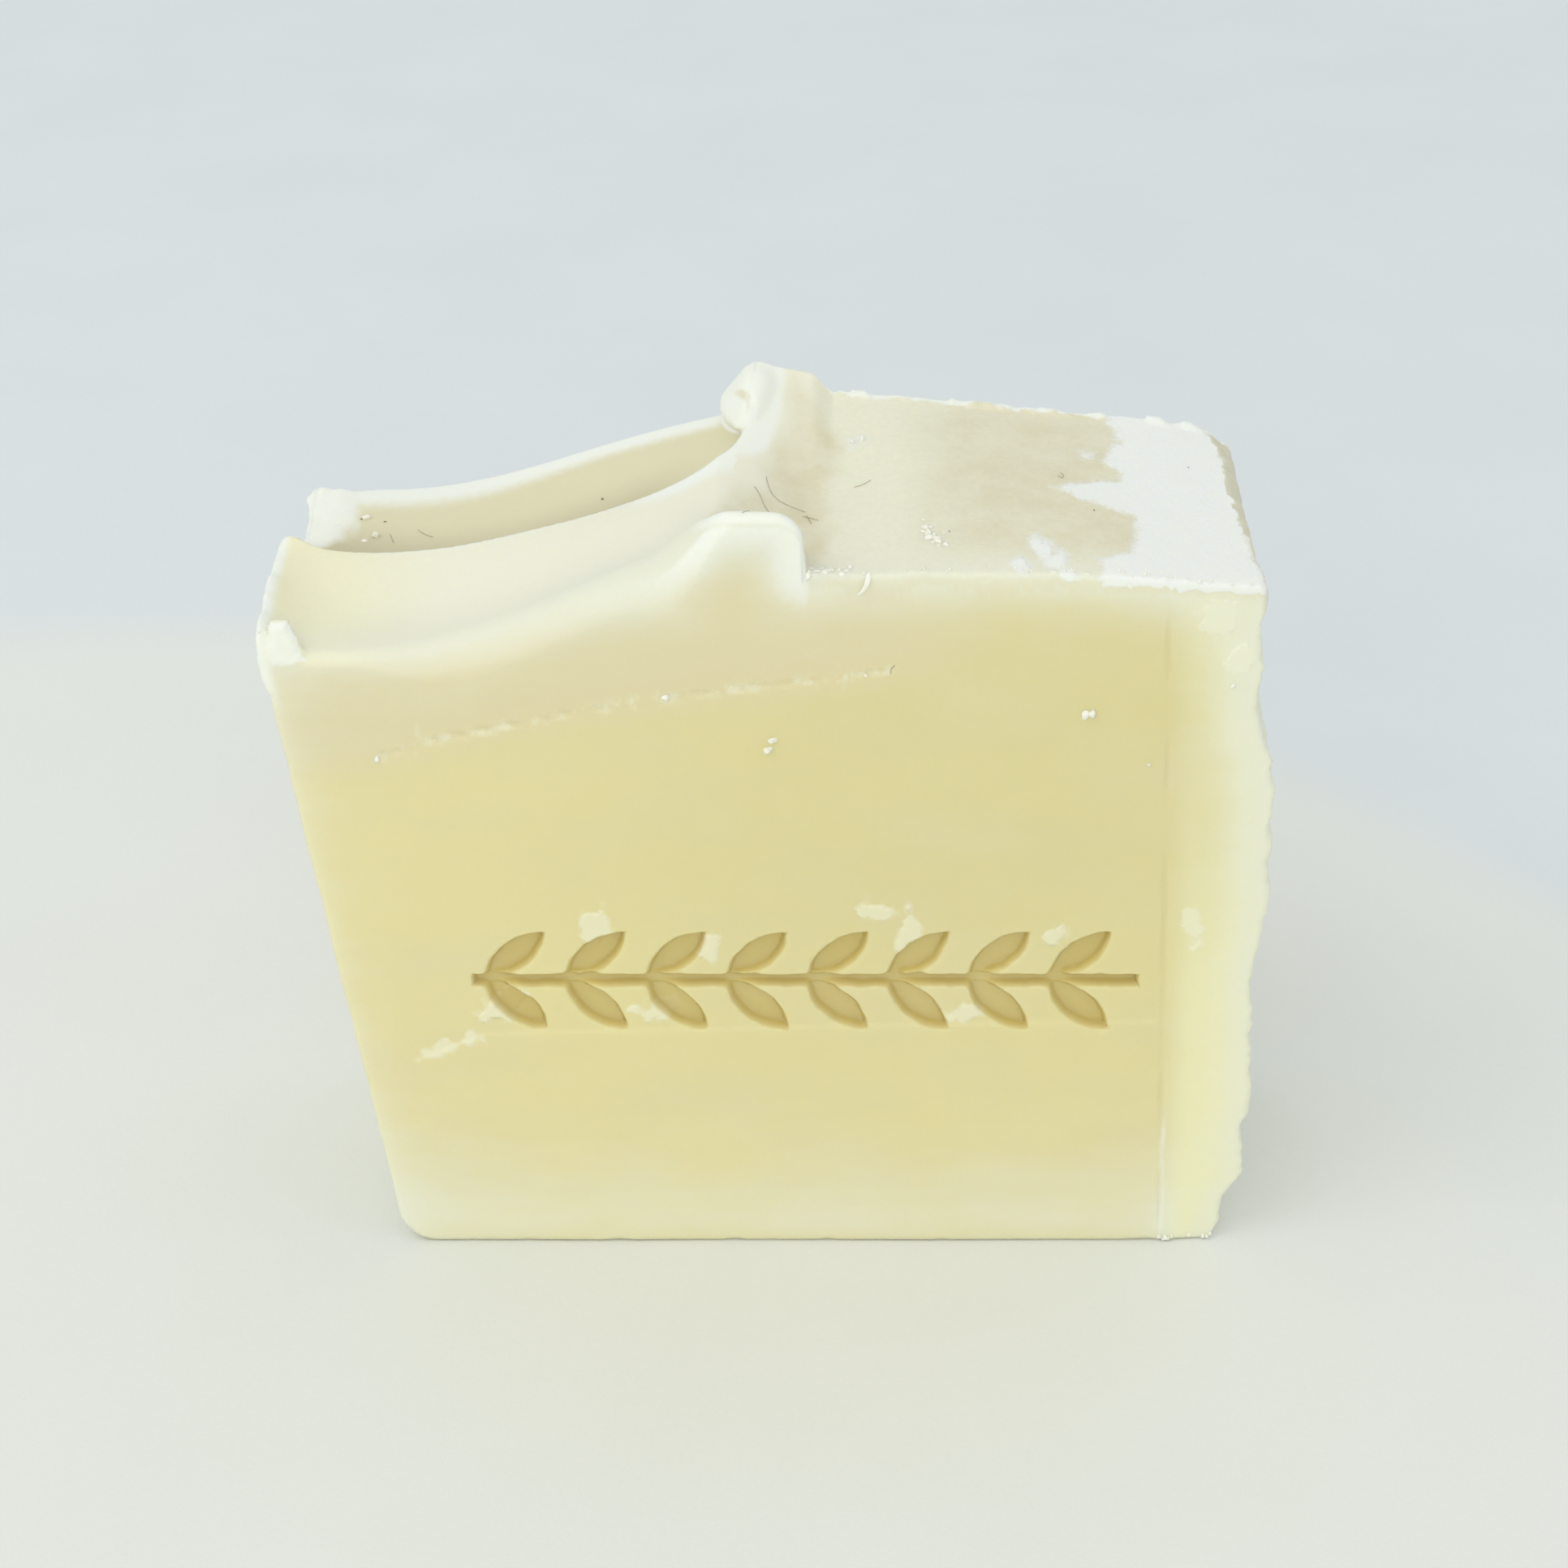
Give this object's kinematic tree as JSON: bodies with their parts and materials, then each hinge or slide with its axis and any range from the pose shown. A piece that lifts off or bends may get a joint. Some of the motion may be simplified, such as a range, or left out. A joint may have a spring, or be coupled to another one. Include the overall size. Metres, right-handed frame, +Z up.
{
  "type": "bar of soap",
  "caption": "Thick cut slice of handmade loaf soap with a swirled wave top, leaning left side, rough right side and a stamped leaf sprig on its front.",
  "frame": {"origin": "middle of the base it stands on, below the middle of the bounding box", "axes": "+X along the width to the viewer's right, +Y from the stamped front cut to the back cut, +Z up"},
  "size_m": [0.0862, 0.0294, 0.0737],
  "materials": {
    "soap": "waxy, slightly translucent cream-yellow soap with whiter ash-dusted edges"
  },
  "bodies": {
    "root": {"soap_bar": "soap"}
  },
  "joints": []
}
